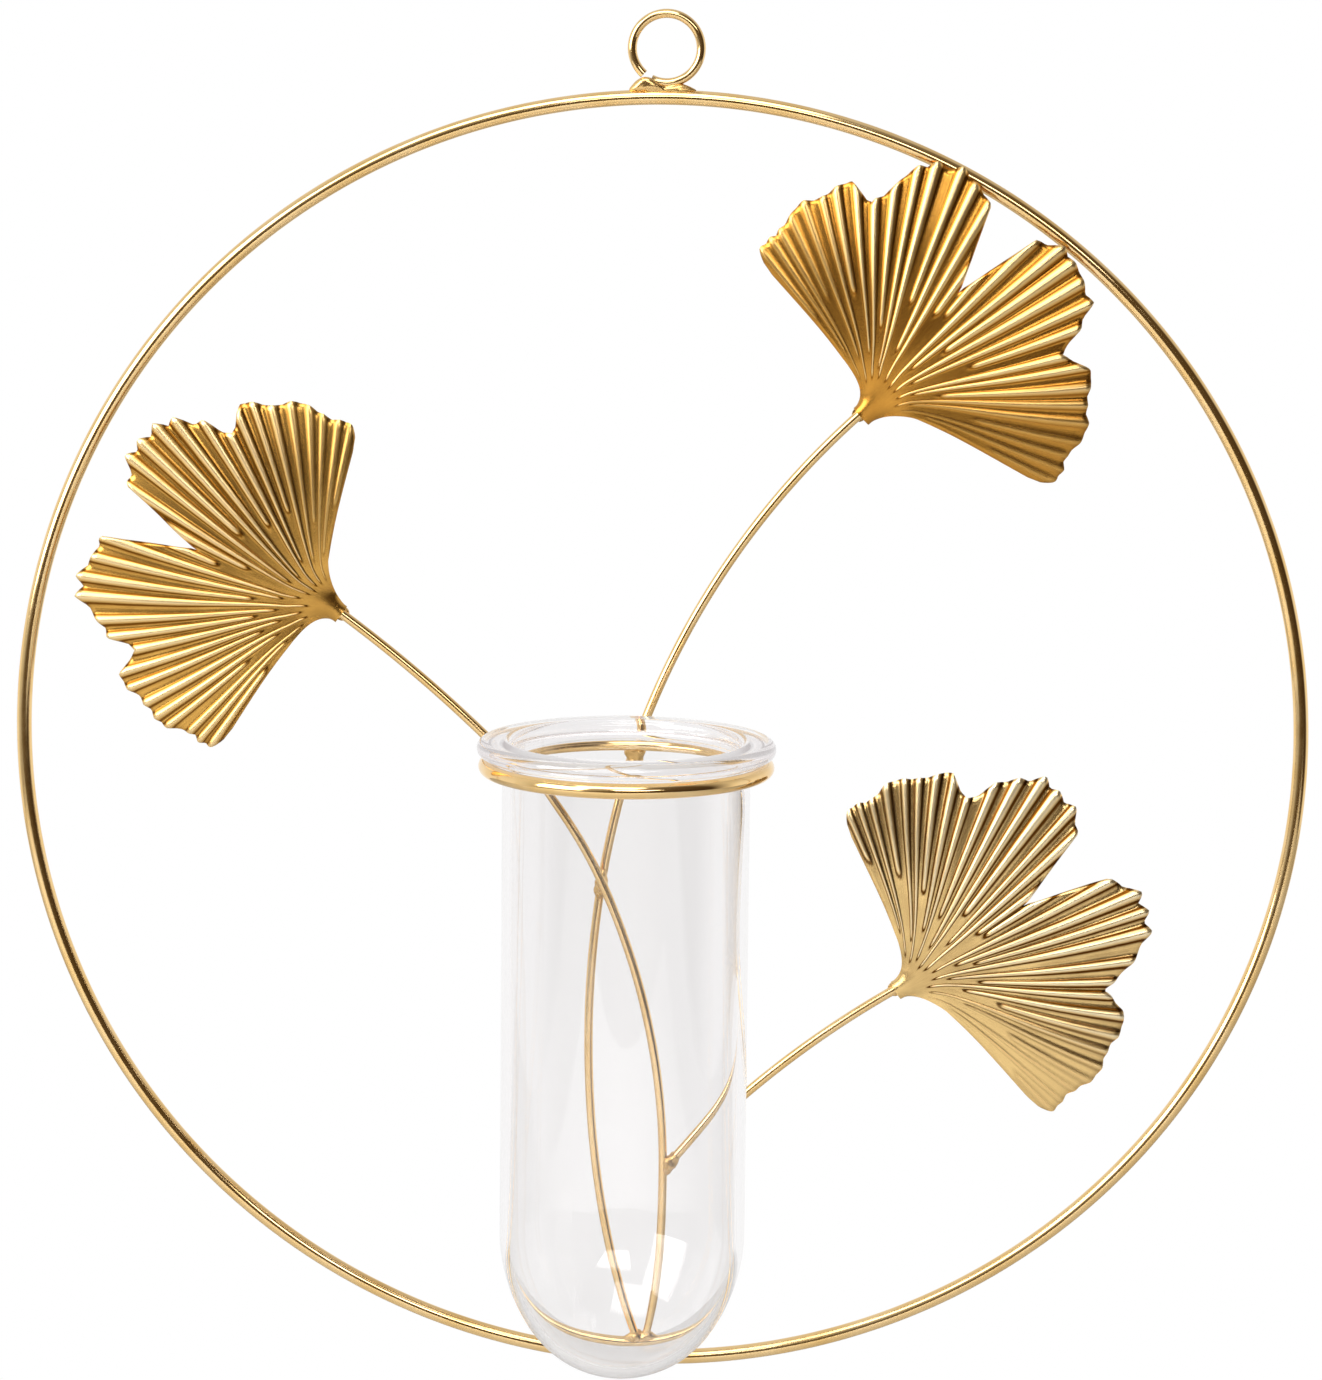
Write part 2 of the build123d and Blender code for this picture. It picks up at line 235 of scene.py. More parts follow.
def leaf_gold(name, groove, plain_shade, valley, foot, flank, crest):
    """Satin gold on pressed sheet: painted highlight with rubbed-bright wear on the rib crests and painted
    shade at their feet, evener where plain and there darkened to a given share as painted shade, brushed
    along them.
    """
    material, nodes, surface, place = new_material(name)
    rib = nodes.attribute("rib")
    along = nodes.add("ShaderNodeUVMap", uv_map="leaf").outputs[0]
    drift = nodes.noise(place, LEAF_DRIFT, detail=4.0)
    lines = nodes.noise(nodes.stretch(along, BRUSHING), 1.0, detail=3.0)
    fine = nodes.noise(place, LEAF_GRAIN, detail=2.0)
    tone = nodes.blend((rib, RIB_TONE), (drift, DRIFT_TONE), (lines, BRUSH_TONE))
    # Painted shade in the dark foot beside each rib, painted highlight with rubbed-bright wear on its crest
    lined = nodes.ramp(tone, (
        (VALLEY_TONE, valley),
        (FOOT_SHADE_TONE, foot),
        (groove, foot),
        (groove + FLANK_STEP, flank),
        (CREST_TONE, crest),
    ))
    # Where plain, the valley and flank colours are darkened to a share: painted shade on the plain side
    # lobes
    even = nodes.ramp(tone, ((VALLEY_TONE, shaded(valley, plain_shade)), (CREST_TONE, shaded(flank, plain_shade))))
    nodes.feed(surface["Base Color"], nodes.mix(nodes.attribute("plain"), lined, even))
    nodes.feed(surface["Metallic"], 1.0)
    gloss = nodes.blend((rib, RIB_ROUGH), (lines, BRUSH_ROUGH))
    nodes.feed(surface["Roughness"], nodes.math("ADD", gloss, LEAF_ROUGH))
    height = nodes.blend((lines, BRUSH_HEIGHT), (fine, GRAIN_HEIGHT))
    nodes.feed(surface["Normal"], nodes.bump(height, LEAF_DENTS, GRAIN_DEPTH))
    return material


# Lit and shaded copies of one gold: the upper leaf painted darker, the lower leaf painted lighter, each
# with its own depth of painted shade at the rib feet
leaf_lit_and_shaded = {
    "upper": leaf_gold(
        "leaf_gold_upper",
        groove=0.35,
        plain_shade=0.74,
        valley=(0.66, 0.32, 0.055),
        foot=(0.28, 0.10, 0.009),
        flank=(0.75, 0.43, 0.115),
        crest=(0.86, 0.65, 0.33),
    ),
    "left": leaf_gold(
        "leaf_gold_left",
        groove=0.39,
        plain_shade=0.9,
        valley=(0.70, 0.39, 0.09),
        foot=(0.19, 0.07, 0.006),
        flank=(0.77, 0.47, 0.145),
        crest=(0.88, 0.67, 0.365),
    ),
    "lower": leaf_gold(
        "leaf_gold_lower",
        groove=0.45,
        plain_shade=1.0,
        valley=(0.90, 0.63, 0.27),
        foot=(0.11, 0.036, 0.002),
        flank=(0.87, 0.60, 0.26),
        crest=(0.99, 0.86, 0.59),
    ),
}

# Clear glass: a slow wave drawn out along the tube, and a body that greys what is seen through it
GLASS_WAVE = 45.0
GLASS_DRAWN = (1.0, 1.0, 0.35)
GLASS_TINTS = ((0.955, 0.95, 0.95), (0.97, 0.965, 0.965))
GLASS_ROUGH = (0.0, 0.015)
GLASS_IOR = 1.48
GLASS_DENTS = 0.05
GLASS_DENT_DEPTH = 0.001
GLASS_BODY = (0.55, 0.45, 0.45, 1.0)
GLASS_DENSITY = 16.0
# Glow for rays caught after more reflections than this, and the heights between wall and lip
CAUGHT_AFTER = 3.5
CAUGHT_GLOW = (0.38, 0.5)
LIP_HEIGHTS = (-0.165, -0.158)


def clear_glass(name):
    """Clear drawn glass: a trace of waviness and gloss change, greyer where it is seen edge on."""
    material, nodes, surface, place = new_material(name)
    wave = nodes.noise(nodes.stretch(place, GLASS_DRAWN), GLASS_WAVE, detail=2.0)
    nodes.feed(surface["Base Color"], nodes.drift(wave, *GLASS_TINTS))
    nodes.feed(surface["Roughness"], nodes.span(wave, NOISE_BAND, GLASS_ROUGH))
    nodes.feed(surface["IOR"], GLASS_IOR)
    nodes.feed(surface["Transmission Weight"], 1.0)
    nodes.feed(surface["Normal"], nodes.bump(wave, GLASS_DENTS, GLASS_DENT_DEPTH))
    # A ray caught between the wall's faces ends on a faint glow, where it would otherwise end dark
    rays = nodes.add("ShaderNodeLightPath").outputs
    caught = nodes.math("GREATER_THAN", rays["Glossy Depth"], CAUGHT_AFTER)
    glow = nodes.span(nodes.axis(place, "Z"), LIP_HEIGHTS, CAUGHT_GLOW)
    nodes.feed(surface["Emission Color"], WHITE)
    nodes.feed(surface["Emission Strength"], nodes.math("MULTIPLY", caught, glow))
    body = nodes.add("ShaderNodeVolumeAbsorption")
    nodes.feed(body.inputs["Color"], GLASS_BODY)
    nodes.feed(body.inputs["Density"], GLASS_DENSITY)
    nodes.link(body.outputs[0], nodes.end.inputs["Volume"])
    return material


tube_glass = clear_glass("tube_glass")


def finish_nodes():
    """A finish for each node of the frame, also for those that a made piece replaces."""
    for name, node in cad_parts.items():
        finish = weld_gold if "weld" in name or "solder" in name else wire_gold
        if name == "glass_tube":
            finish = tube_glass
        node.data.materials.clear()
        node.data.materials.append(finish)


finish_nodes()


# Helpers for made pieces
def add_piece(name, node, body, material, points, faces):
    """A made piece in place of a node; its smooth mesh is returned."""
    mesh = bpy.data.meshes.new(name)
    mesh.from_pydata(points, [], faces)
    mesh.validate()
    mesh.shade_smooth()
    mesh.materials.append(material)
    piece = bpy.data.objects.new(name, mesh)
    bpy.context.scene.collection.objects.link(piece)
    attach(piece, body)
    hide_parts(node)
    return mesh


def unit(vectors):
    """Vectors brought to length one."""
    return vectors / np.linalg.norm(vectors, axis=-1, keepdims=True)


def ring_points(line, up, side, reach):
    """Rings of points round a line, in metres; reach has a row for each ring and a column for each side."""
    spin = np.linspace(0, FULL_TURN, reach.shape[1], endpoint=False)[None, :, None]
    way = np.cos(spin) * up + np.sin(spin) * side[:, None]
    return ((line[:, None] + reach[:, :, None] * way).reshape(-1, 3) * MM).tolist()


def ring_faces(rings, sides, closed=False):
    """Quads between rings of points, and back to the first ring of a closed run."""
    faces = []
    for k in range(rings if closed else rings - 1):
        first = k * sides
        second = (k + 1) % rings * sides
        for j in range(sides):
            i = (j + 1) % sides
            faces.append((first + j, first + i, second + i, second + j))
    return faces


def end_caps(rings, sides):
    """Faces that close both ends of an open run of rings."""
    last = (rings - 1) * sides
    return [tuple(range(sides - 1, -1, -1)), tuple(range(last, last + sides))]


# Bent wires: radii of their middle lines, thicknesses, and the eye's ends in degrees
HOOP_DROP = 159.3
HOOP_MIDDLE = 148.2
HOOP_WIRE = 3.49
EYE_MIDDLE = 7.85
EYE_WIRE = 2.1
EYE_ENDS = (244.0, 589.0)
HOLDER = (-6.0, -36.25, -159.4)
HOLDER_MIDDLE = 31.65
FULL_CIRCLE = (0.0, 360.0)
WIRE_STEP = 0.8
WIRE_SIDES = 32
WIRE_SHARP = math.radians(50.0)
# Stems, drawn from the hoop's middle on planes just in front of it that may lean about the stems' feet
STEM_WIRE = 2.2
STEM_SET = 1.0
STEM_TUCK = 4.5
TUCK_STEPS = 6
STEM_LEAN = math.radians(1.2177)
FOOT_Z = -145.9328
Stem = namedtuple("Stem", "start heading stops lean")
STEMS = {
    "upper": Stem(
        start=(-3.5, FOOT_Z),
        heading=109.5,
        stops=((-13.4, -33.0), (-5.0, -0.1), (45.678, 76.931)),
        lean=0.0,
    ),
    "left": Stem(
        start=(-0.8, FOOT_Z),
        heading=81.0,
        stops=((2.5, -100.0), (-13.4, -33.0), (-27.9, -11.8), (-74.196, 29.377)),
        lean=STEM_LEAN,
    ),
    "lower": Stem(
        start=(4.5675, -100.0),
        heading=48.0,
        stops=((56.283, -57.274),),
        lean=STEM_LEAN,
    ),
}


def towards(way):
    """A step of length one on a plane, at an angle in radians."""
    return np.array((math.cos(way), math.sin(way)))


def bent_line(stem):
    """Middle line of a stem on its plane: arcs that run into each other, then a straight end."""
    heading = math.radians(stem.heading)
    points = [np.array(stem.start)]
    for stop in stem.stops:
        here = points[-1]
        chord = np.array(stop) - here
        off = (math.atan2(chord[1], chord[0]) - heading + math.pi) % FULL_TURN - math.pi
        length = np.linalg.norm(chord)
        steps = math.ceil(length / WIRE_STEP)
        for k in range(1, steps + 1):
            along = length * math.sin(off * k / steps) / math.sin(off)
            way = heading + off * k / steps
            points.append(here + along * towards(way))
        heading += 2 * off
    end = towards(heading)
    return points + [points[-1] + end * STEM_TUCK * k / TUCK_STEPS for k in range(1, TUCK_STEPS + 1)]


def from_plane(flat, lean):
    """Points of a stem's plane in the model's frame."""
    lift = FOOT_Z * (1 - math.cos(lean)) - HOOP_DROP
    rise = math.cos(lean)
    slope = math.sin(lean)
    return [(x, -STEM_SET + (FOOT_Z - z) * slope, lift + z * rise) for x, z in flat]


def circle_line(centre, radius, ends, up, closed):
    """Middle line of a ring between two angles in degrees, turning from the right towards up."""
    start, end = ends
    count = math.ceil(math.radians(end - start) * radius / WIRE_STEP)
    angles = np.radians(np.linspace(start, end, count, endpoint=not closed))
    return [np.array(centre) + radius * (RIGHT * math.cos(a) + up * math.sin(a)) for a in angles]


def build_wire(name, node, line, facing, wire, closed=False):
    """Round wire along a line that lies in a plane with the given facing."""
    line = np.array(line)
    ahead = np.roll(line, -1, 0) - np.roll(line, 1, 0) if closed else np.gradient(line, axis=0)
    side = np.cross(unit(ahead), facing)
    rings = len(line)
    points = ring_points(line, facing, side, np.full((rings, WIRE_SIDES), wire / 2))
    faces = ring_faces(rings, WIRE_SIDES, closed)
    if not closed:
        faces += end_caps(rings, WIRE_SIDES)
    mesh = add_piece(name, node, "frame", wire_gold, points, faces)
    mesh.set_sharp_from_angle(angle=WIRE_SHARP)


def build_rings():
    """The hoop and the eye stand upright, the holder ring lies flat."""
    hoop = circle_line((0, 0, -HOOP_DROP), HOOP_MIDDLE, FULL_CIRCLE, UP, closed=True)
    eye = circle_line((0, 0, 0), EYE_MIDDLE, EYE_ENDS, UP, closed=False)
    holder = circle_line(HOLDER, HOLDER_MIDDLE, FULL_CIRCLE, -FRONT, closed=True)
    build_wire("bent_hoop", "hoop", hoop, FRONT, HOOP_WIRE, closed=True)
    build_wire("bent_eye", "hanging_eye", eye, FRONT, EYE_WIRE)
    build_wire("bent_holder", "holder_ring", holder, UP, HOOP_WIRE, closed=True)


def build_stems():
    """Each stem from its foot or branch to its leaf, facing forward as its plane does."""
    for which, stem in STEMS.items():
        line = from_plane(bent_line(stem), stem.lean)
        facing = np.array((0.0, -math.cos(stem.lean), -math.sin(stem.lean)))
        build_wire(f"bent_stem_{which}", f"stem_{which}", line, facing, STEM_WIRE)


build_rings()
build_stems()

# Weld beads, uneven as they run
BEAD_RINGS = 56
BEAD_SIDES = 40
BEAD_ENDS = (0.03, 0.97)
BEAD_ROUND = 5
# Points and window that round off the row of spots
BEAD_FINE = 400
BEAD_EASE = 61
# Lumps as (size, turns round the bead, run along it)
BEAD_LUMPS = ((0.07, 2.0, 5.0), (0.05, 3.0, -11.0), (0.06, 0.0, 17.0), (0.03, 5.0, 23.0))


def eased_row(spots, share):
    """Places and radii at shares of a row of spots, rounded off where the row bends."""
    spots = np.array(spots)
    gaps = np.linalg.norm(np.diff(spots[:, :3], axis=0), axis=1)
    steps = np.concatenate(((0.0,), np.cumsum(gaps)))
    fine = np.linspace(0, 1, BEAD_FINE)
    ease = np.hanning(BEAD_EASE) / np.hanning(BEAD_EASE).sum()
    columns = []
    for values in spots.T:
        row = np.interp(fine, steps / steps[-1], values)
        padded = np.pad(row, BEAD_EASE // 2, mode="edge")
        columns.append(np.interp(share, fine, np.convolve(padded, ease, "valid")))
    return np.stack(columns, axis=1)


def build_bead(name, node, seed, spots):
    """Bead along a row of spots, each one a place and a radius, with lumps and round ends."""
    draw = random.Random(seed)
    share = 0.5 - 0.5 * np.cos(np.linspace(*BEAD_ENDS, BEAD_RINGS) * math.pi)
    row = eased_row(spots, share)
    line = row[:, :3]
    ahead = unit(np.gradient(line, axis=0))
    side = unit(np.cross(ahead, FRONT))
    up = np.cross(side, ahead)
    spin = np.linspace(0, FULL_TURN, BEAD_SIDES, endpoint=False)
    lumps = np.ones((BEAD_RINGS, BEAD_SIDES))
    for size, around, along in BEAD_LUMPS:
        shift = draw.uniform(0, FULL_TURN)
        lumps += size * np.sin(around * spin[None] + along * share[:, None] + shift)
    radius = row[:, 3] * np.sqrt(1 - np.abs(2 * share - 1) ** BEAD_ROUND)
    points = ring_points(line, up[:, None], side, radius[:, None] * lumps)
    faces = ring_faces(BEAD_RINGS, BEAD_SIDES) + end_caps(BEAD_RINGS, BEAD_SIDES)
    add_piece(name, node, "frame", weld_gold, points, faces)


build_bead("eye_bead", "eye_weld", seed=41, spots=(
    (-8.6, -0.4, -9.6, 0.7),
    (-6.8, -0.4, -9.0, 1.4),
    (-4.8, -0.4, -8.1, 1.85),
    (-2.8, -0.4, -8.8, 1.4),
    (-0.4, -0.3, -9.3, 1.0),
    (2.6, -0.3, -9.1, 1.2),
    (5.0, -0.3, -9.2, 0.95),
    (7.0, -0.3, -9.5, 0.4),
))
build_bead("foot_bead", "foot_weld", seed=42, spots=(
    (-7.4, -0.8, -306.2, 0.6),
    (-5.2, -0.9, -305.6, 1.5),
    (-3.5, -1.0, -305.0, 2.0),
    (-2.1, -1.0, -305.4, 1.6),
    (-0.8, -1.0, -305.0, 1.9),
    (1.2, -0.9, -305.6, 1.4),
    (3.2, -0.8, -306.1, 0.6),
))
build_bead("crossing_bead", "crossing_weld", seed=43, spots=(
    (-12.9, -2.2, -189.4, 0.6),
    (-13.2, -2.2, -191.4, 1.4),
    (-13.6, -2.2, -193.0, 1.7),
    (-14.1, -2.1, -195.2, 1.2),
    (-14.3, -1.9, -197.0, 0.6),
))
build_bead("branch_bead", "branch_weld", seed=44, spots=(
    (6.6, -2.0, -256.9, 0.9),
    (5.3, -2.0, -258.5, 1.5),
    (4.2, -2.0, -259.6, 1.8),
    (3.6, -2.0, -261.0, 1.5),
    (3.1, -2.0, -262.8, 0.7),
))
build_bead("holder_drop", "holder_weld", seed=45, spots=(
    (-5.4, -2.5, -158.2, 1.7),
    (-5.4, -2.5, -159.6, 2.4),
    (-5.5, -2.6, -161.6, 2.4),
    (-5.4, -2.8, -164.0, 1.8),
    (-5.2, -3.0, -166.6, 1.1),
))

# Pressed leaves: the sheet, its fan of ribs, its bow along the middle and its droop at the sides
LEAF_LENGTH = 59.2
LEAF_SHEET = 0.6
FAN = math.radians(72.5)
HALF_RIBS = 16
LEAF_BOW = 3.0
LEAF_DROOP = 2.0
FAN_SPREAD = 1.04
FAN_FLARE = 0.7
FAN_FLARE_LENGTH = 13.0
BLADE_MID = 1.5
LEAF_TILT = math.radians(0.968)
LEAF_SHARP = math.radians(62.0)
# Rim of one half as (degrees from the middle line, inset from the tip circle)
CLEFT_DEPTH = 23.8
CLEFT_CORNER = (6.8, 3.5)
LOBE = (15.5, 0.0)
SHOULDER = (28.5, 4.6)
NOTCH = (35.3, 11.6)
SIDE_LOBE = (40.8, 6.6)
SIDE_MID = (55.0, 10.0)
SIDE_TIP = (71.5, 16.8)
# Shares of a wider or longer side lobe that its middle takes
MID_WIDER = 0.5
MID_LONGER = 0.6
# Steps along the rim's stretches, and where and how finely a column's end is looked for
CLEFT_STEPS = 12
NOTCH_STEPS = 6
ARC_STEPS = 24
RIM_SEARCH = (5.0, 90.0)
RIM_HALVINGS = 40
# Neck, rolled round the stem's end and opening into the fan
NECK_START = -0.8
NECK_WIDE = 2.0
NECK_RUN = 8.0
NECK_ROLL = math.radians(95.0)
NECK_RADIUS = 1.6
NECK_CURL = 12.0
# Pressed ribs: where the forks, the long ribs and the middle ones start, and their form
RIB_STARTS = ((17.0, 27.0), (6.0, 8.0), (10.0, 15.0))
RIB_STRAY = (-0.12, 0.12)
RIB_WIDTHS = (0.85, 1.15)
RIB_RUN_IN = 2.2
RIB_HALF = 0.42
RIB_LEAST = 0.34
RIB_RISE = 0.44
RIB_DULL = 0.45
PLAIN_FROM = (0.5, 0.85)
VALLEY = 0.35
VALLEY_RUN = (8.0, 24.0)
# Rim: pointed teeth on the lobes, slow waves on the side lobes, rounded side tips, turned edge
TEETH_FROM = (math.radians(5.5), math.radians(8.0))
TEETH_SINK = 0.45
LOBE_TOOTH = (0.2, 2.7)
SIDE_TOOTH = (0.2, 0.8)
SIDE_FROM = 0.5
SIDE_RUN_IN = 0.06
SIDE_WAVE = 0.6
SIDE_WAVES = 5.0
TIP_FROM = 0.95
TIP_ROUND = 2.4
EDGE_RUN = 0.9
EDGE_DROP = 0.4
EDGE_FROM = (10.0, 18.0)
# Leaf grid: columns close together on the ribs, rows close together at the neck and the rim
RIB_CELL = (-0.5, -0.34, -0.25, -0.16, -0.05, 0.05, 0.16, 0.25, 0.34)
HALF_COLUMNS = np.array(
    [(k + 0.5 + off) / HALF_RIBS for k in range(HALF_RIBS) for off in RIB_CELL] + [1.0]
)
ROW_COUNT = 60
ROW_EASE = 1.25
RIM_ROWS = (0.987, 0.9935, 1.0)
LEAF_ROWS = np.concatenate((np.linspace(0, 1, ROW_COUNT)[:-1] ** ROW_EASE, RIM_ROWS))
# A half: its seed, degrees and length added to its side lobe, how plain its outer ribs are, neck width
Half = namedtuple("Half", "seed wider longer plainer neck")
# A rib: its place across the half, where it starts, its width and its tooth on the rim
Rib = namedtuple("Rib", "crest start width tooth")
# A blade's grids: place on the sheet, height without ribs, ribs' height, profile and plainness, own grid
Blade = namedtuple("Blade", "x y flat pressed rib plain wide share along")


def smooth(value, low, high):
    """Step from 0 at low to 1 at high, with soft ends."""
    step = np.clip((value - low) / (high - low), 0.0, 1.0)
    return step * step * (3 - 2 * step)


def polar(turn, inset):
    """Place on the leaf from degrees off its middle line and the inset from its tip circle."""
    return (LEAF_LENGTH - inset) * towards(math.radians(turn))


def straight_points(first, last, steps):
    """Points from one place towards another, which is left out."""
    return [first + (last - first) * k / steps for k in range(steps)]


def arc_points(first, middle, last):
    """Points on the circle through three places, whose centre is equally far from all of them."""
    chords = 2 * np.array((middle - first, last - first))
    centre = np.linalg.solve(chords, (middle @ middle - first @ first, last @ last - first @ first))
    radius = np.linalg.norm(first - centre)
    start, end = (math.atan2(y, x) for x, y in (first - centre, last - centre))
    turn = (end - start + math.pi) % FULL_TURN - math.pi
    return [centre + radius * towards(start + turn * k / ARC_STEPS) for k in range(ARC_STEPS + 1)]


def rim_table(half):
    """Rim of a half leaf without its teeth, as rising angles and their reaches."""
    cleft = np.array((LEAF_LENGTH - CLEFT_DEPTH, 0.0))
    corner = polar(*CLEFT_CORNER)
    shoulder = polar(*SHOULDER)
    notch = polar(*NOTCH)
    side_lobe = polar(*SIDE_LOBE)
    side_mid = polar(SIDE_MID[0] + half.wider * MID_WIDER, SIDE_MID[1] - half.longer * MID_LONGER)
    side_tip = polar(SIDE_TIP[0] + half.wider, SIDE_TIP[1] - half.longer)
    points = straight_points(cleft, corner, CLEFT_STEPS)
    points += arc_points(corner, polar(*LOBE), shoulder)[:-1]
    points += straight_points(shoulder, notch, NOTCH_STEPS)
    points += straight_points(notch, side_lobe, NOTCH_STEPS)
    points += arc_points(side_lobe, side_mid, side_tip)
    points = np.array(points)
    return np.arctan2(points[:, 1], points[:, 0]), np.hypot(points[:, 0], points[:, 1])


def fan_share(along):
    """How far the fan has opened, from the narrow neck to the rim."""
    return FAN_SPREAD - FAN_FLARE * np.exp(-np.maximum(along, 0) / FAN_FLARE_LENGTH)


def fan_reach(along, turn):
    """Distance from the neck at a turn off the middle line, for rows that run straight across a half."""
    return np.maximum(along, 0) / np.cos(turn - FAN / 2)


def half_ribs(seed):
    """Ribs of one half: long ribs with forks between them."""
    draw = random.Random(seed)
    ribs = []
    for k in range(HALF_RIBS):
        crest = (k + 0.5 + draw.uniform(*RIB_STRAY)) / HALF_RIBS
        start = draw.uniform(*RIB_STARTS[k % len(RIB_STARTS)])
        tooth = draw.uniform(*(LOBE_TOOTH if crest < SIDE_FROM else SIDE_TOOTH))
        ribs.append(Rib(crest, start, draw.uniform(*RIB_WIDTHS), tooth))
    return ribs


def rib_form(along, across, fan, ribs, plainer):
    """Height of the pressed ribs, their profile from 0 in a valley to 1 on a crest, and their plainness."""
    turn_share = fan * fan_share(along)
    width = turn_share * fan_reach(along, turn_share * across) + NECK_WIDE * np.exp(-along / NECK_RUN)
    plain = plainer * smooth(across, *PLAIN_FROM)
    height = np.zeros_like(along)
    profile = np.zeros_like(along)
    for rib in ribs:
        half_width = np.maximum(RIB_HALF * rib.width * width / HALF_RIBS, RIB_LEAST)
        off = np.minimum(np.abs(across - rib.crest) * width / half_width, 1)
        bump = (0.5 + 0.5 * np.cos(math.pi * off)) * smooth(along, rib.start, rib.start + RIB_RUN_IN)
        height = np.maximum(height, bump * half_width * RIB_RISE * (1 - plain))
        # The profile, faded where plain, places the painted crest highlight and the painted foot shade
        profile = np.maximum(profile, bump * (1 - RIB_DULL * plain))
    return height, profile, plain


def rim_teeth(across, ribs):
    """How far the rim stands out: pointed at the ribs' ends, in slow waves on the side lobe."""
    teeth = np.zeros_like(across)
    for rib in ribs:
        off = np.minimum(np.abs(across - rib.crest) * HALF_RIBS * 2, 1)
        teeth = np.maximum(teeth, rib.tooth * (1 - off))
    slow = SIDE_WAVE * np.sin((across - SIDE_FROM) * SIDE_WAVES * FULL_TURN)
    slow = slow * smooth(across, SIDE_FROM, SIDE_FROM + SIDE_RUN_IN)
    corner = np.clip((across - TIP_FROM) / (1 - TIP_FROM), 0, 1)
    return teeth - TEETH_SINK + slow - TIP_ROUND * (1 - np.sqrt(1 - corner**2))


def rim_ends(fan, half, ribs):
    """How far along the leaf each column of a half meets the toothed rim, found by halving."""
    rim_turns, rim_reaches = rim_table(half)
    near = np.full_like(HALF_COLUMNS, RIM_SEARCH[0])
    far = np.full_like(HALF_COLUMNS, RIM_SEARCH[1])
    for _ in range(RIM_HALVINGS):
        mid = (near + far) / 2
        turn = fan * fan_share(mid) * HALF_COLUMNS
        inside = fan_reach(mid, turn) < np.interp(turn, rim_turns, rim_reaches)
        near = np.where(inside, mid, near)
        far = np.where(inside, far, mid)
    past_cleft = smooth(fan * fan_share(near) * HALF_COLUMNS, *TEETH_FROM)
    return near + past_cleft * rim_teeth(HALF_COLUMNS, ribs)


def half_blade(half):
    """Middle of one half leaf's sheet, as grids of rows from neck to rim and columns to the side."""
    ribs = half_ribs(half.seed)
    fan = FAN + math.radians(half.wider)
    end = rim_ends(fan, half, ribs)
    along = NECK_START + (end - NECK_START) * LEAF_ROWS[:, None]
    wide = np.broadcast_to(HALF_COLUMNS, along.shape)
    turn = fan * fan_share(along) * wide
    reach = fan_reach(along, turn)
    share = reach / LEAF_LENGTH
    curl = 1 - smooth(along, NECK_START, NECK_CURL)
    roll = NECK_ROLL * wide
    start = curl * np.sin(roll) + (1 - curl) * wide
    x = reach * np.cos(turn) + np.minimum(along, 0)
    y = reach * np.sin(turn) + half.neck * start * np.exp(-np.maximum(along, 0) / NECK_RUN)
    pressed, rib, plain = rib_form(along, wide, fan, ribs, half.plainer)
    flat = BLADE_MID + LEAF_BOW * np.sin(math.pi * share) - LEAF_DROOP * (turn / FAN) ** 2 * share
    flat = flat - curl * NECK_RADIUS * (1 - np.cos(roll)) - VALLEY * smooth(along, *VALLEY_RUN)
    from_rim = np.minimum(end - along, (1 - wide) * fan * reach)
    turned = np.clip(1 - from_rim / EDGE_RUN, 0, 1) ** 2
    flat = flat - EDGE_DROP * turned * smooth(along, *EDGE_FROM)
    return Blade(x, y, flat, pressed, rib, plain, wide, share, along)


def whole_blade(halves, neck_bend):
    """Both halves side by side with one middle column, the neck bent towards the stem."""
    left, right = (half_blade(half) for half in halves)
    right = right._replace(y=-right.y, wide=-right.wide)
    blade = Blade(*(np.concatenate((a[:, :0:-1], b), axis=1) for a, b in zip(left, right)))
    bend = neck_bend * (1 - smooth(blade.along, NECK_START, NECK_CURL))
    x = blade.x * np.cos(bend) - blade.y * np.sin(bend)
    y = blade.x * np.sin(bend) + blade.y * np.cos(bend)
    return blade._replace(x=x, y=y)


def sheet_points(blade):
    """Front and back of the sheet, half its thickness to each side of the middle."""
    unpressed = np.stack((blade.x, blade.y, blade.flat), axis=-1)
    face = unit(np.cross(np.gradient(unpressed, axis=1), np.gradient(unpressed, axis=0)))
    mid = np.stack((blade.x, blade.y, blade.flat + blade.pressed), axis=-1)
    front = mid + face * LEAF_SHEET / 2
    back = mid - face * LEAF_SHEET / 2
    return np.concatenate((front.reshape(-1, 3), back.reshape(-1, 3)))


def sheet_faces(rows, columns):
    """Quads of a sheet: its front, its back and its four cut edges."""
    count = rows * columns
    index = np.arange(count).reshape(rows, columns)
    a, b, c, d = index[:-1, :-1], index[:-1, 1:], index[1:, 1:], index[1:, :-1]
    quads = [np.stack((a, b, c, d), axis=-1).reshape(-1, 4)]
    quads.append(np.stack((a, d, c, b), axis=-1).reshape(-1, 4) + count)
    for line, flip in ((index[0], True), (index[-1], False), (index[:, 0], False), (index[:, -1], True)):
        edge = np.stack((line[1:], line[:-1], line[:-1] + count, line[1:] + count), axis=-1)
        quads.append(edge[:, ::-1] if flip else edge)
    return np.concatenate(quads).tolist()


def leaf_turn(lean, axis):
    """A leaf's own axes in the model's frame: along it, across it and its facing."""
    up = Vector((0, -math.sin(lean), math.cos(lean)))
    ahead = Vector((0, -math.cos(lean), -math.sin(lean)))
    out = Vector((1, 0, 0)) * math.cos(math.radians(axis)) + up * math.sin(math.radians(axis))
    tipped = out * math.cos(LEAF_TILT) + ahead * math.sin(LEAF_TILT)
    facing = ahead * math.cos(LEAF_TILT) - out * math.sin(LEAF_TILT)
    return np.array((tipped, facing.cross(tipped), facing))


